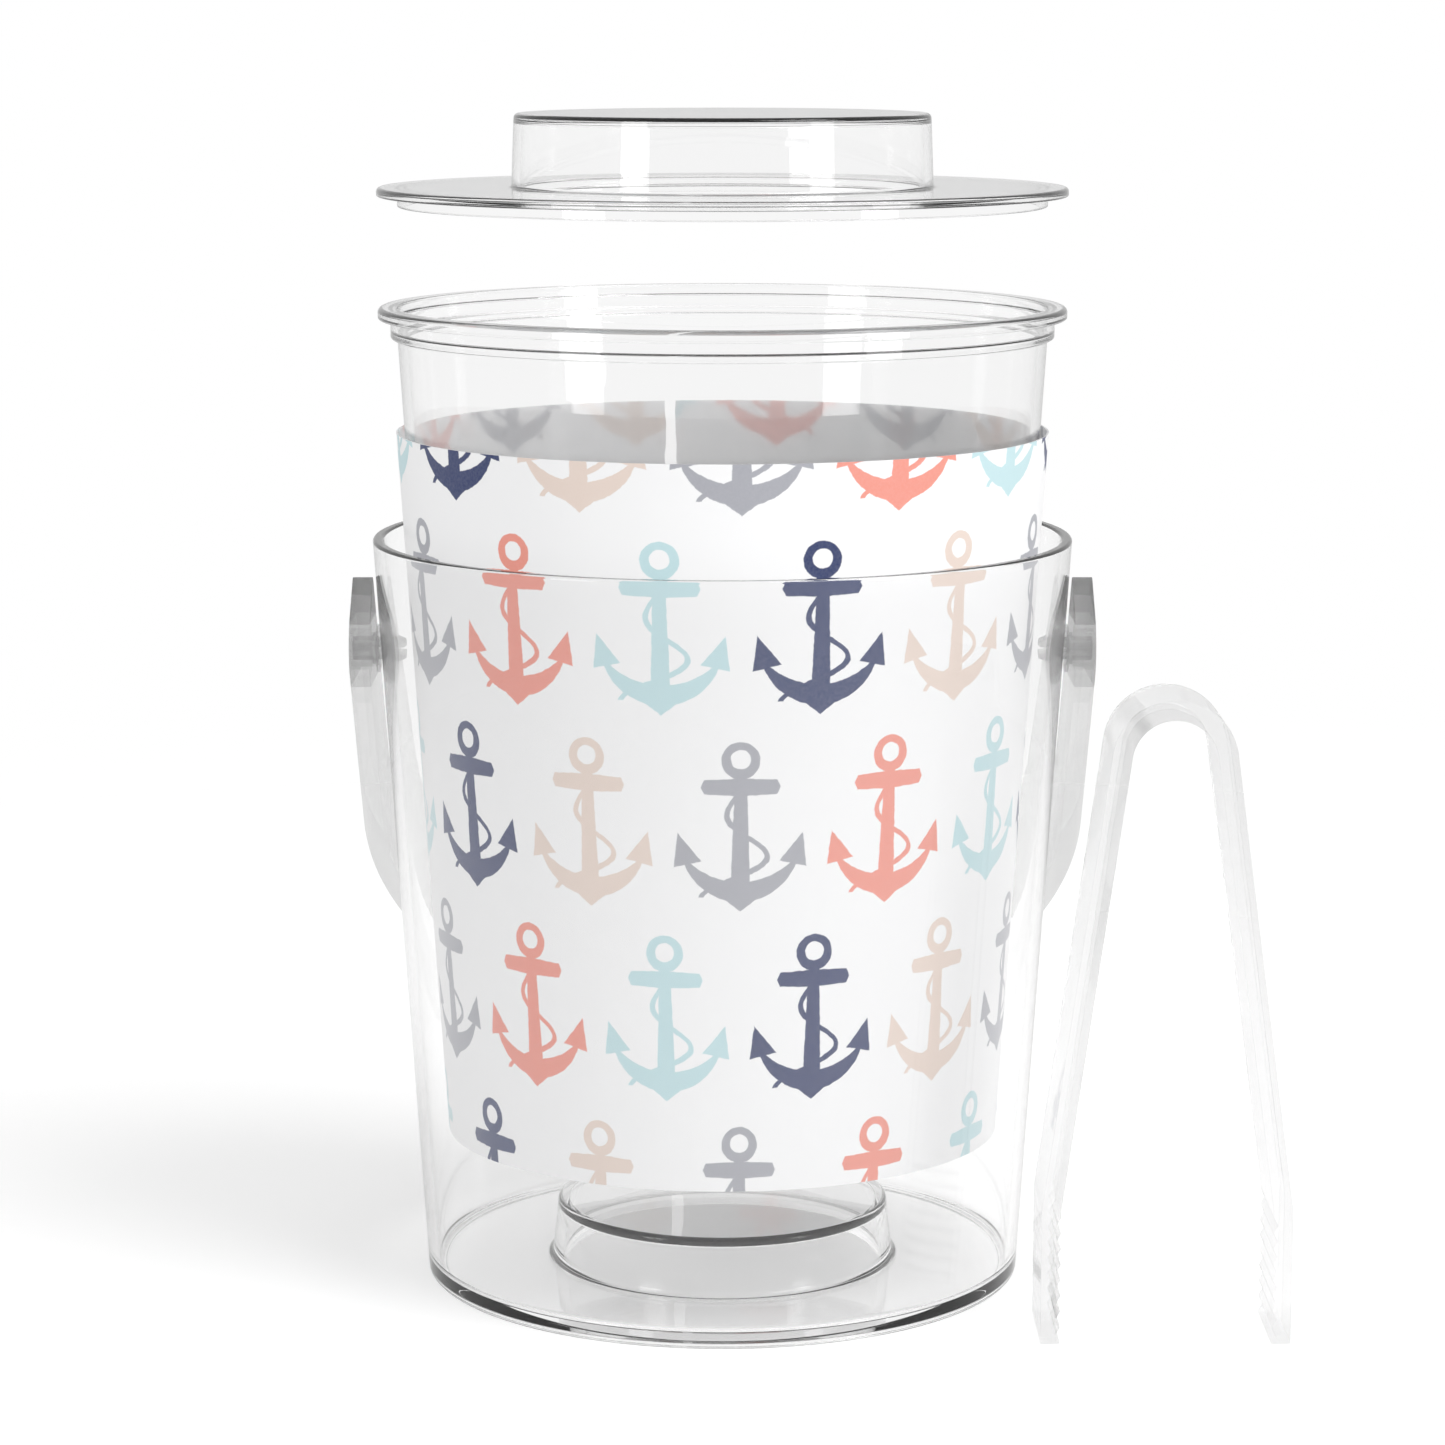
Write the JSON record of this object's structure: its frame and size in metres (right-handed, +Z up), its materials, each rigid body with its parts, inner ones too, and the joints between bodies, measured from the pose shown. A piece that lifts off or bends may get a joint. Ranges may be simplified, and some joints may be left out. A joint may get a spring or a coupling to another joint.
{
  "type": "ice bucket",
  "caption": "Double-walled clear plastic ice bucket with printed sleeve, lift-out liner, lid, bail handle and ice tongs",
  "frame": {"origin": "on the table, at the centre of the outer bucket's foot ring", "axes": "+Z is up along the bucket's axis, the bail's pivots lie along X, the bail hangs behind on +Y, and the tongs stand on the +X side"},
  "size_m": [0.2303, 0.1887, 0.293],
  "materials": {
    "clear_shell": "clear polished acrylic, lightly grey in depth",
    "clear_liner": "clear polished acrylic",
    "clear_lid": "clear polished acrylic",
    "printed_sheet": "white printed plastic sheet with rows of small anchors in navy, coral, pale blue, grey and beige",
    "clear_handle": "clear polished acrylic strip, bent hot",
    "clear_pin": "clear moulded plastic",
    "clear_tongs": "clear polished acrylic strip, bent hot"
  },
  "bodies": {
    "shell": {"outer_bucket": "clear_shell"},
    "liner": {"inner_bucket": "clear_liner"},
    "sleeve": {"printed_sleeve": "printed_sheet"},
    "cover": {"lid": "clear_lid"},
    "bail": {"handle": "clear_handle", "pivot_pin_left": "clear_pin", "pivot_pin_right": "clear_pin", "pivot_washer_left": "clear_pin", "pivot_washer_right": "clear_pin"},
    "tongs_left": {"tongs_left_arm": "clear_tongs"},
    "tongs_right": {"tongs_right_arm": "clear_tongs"}
  },
  "joints": [
    {"name": "liner_lift", "type": "slide", "parent": "shell", "child": "liner", "axis": [0, 0, 1], "range_m": [-0.0544, 0]},
    {"name": "sleeve_lift", "type": "slide", "parent": "shell", "child": "sleeve", "axis": [0, 0, 1], "range_m": [-0.0345, 0]},
    {"name": "lid_lift", "type": "slide", "parent": "liner", "child": "cover", "axis": [0, 0, 1], "range_m": [-0.027, 0]},
    {"name": "handle_swing", "type": "hinge", "parent": "shell", "child": "bail", "pos_m": [0, 0, 0.1594], "axis": [1, 0, 0], "range_deg": [0, 96]},
    {"name": "tongs_carry", "type": "slide", "parent": "shell", "child": "tongs_left", "axis": [0, 0, 1], "range_m": [0, 0.1]},
    {"name": "tongs_squeeze", "type": "hinge", "parent": "tongs_left", "child": "tongs_right", "pos_m": [0.10705, -0.0583, 0.1426], "axis": [0, 1, 0], "range_deg": [0, 19.2], "stiffness_Nm_per_rad": 0.5}
  ],
  "couplings": [
    {"joint": "sleeve_lift", "follows": "liner_lift", "ratio": 0.63419}
  ]
}
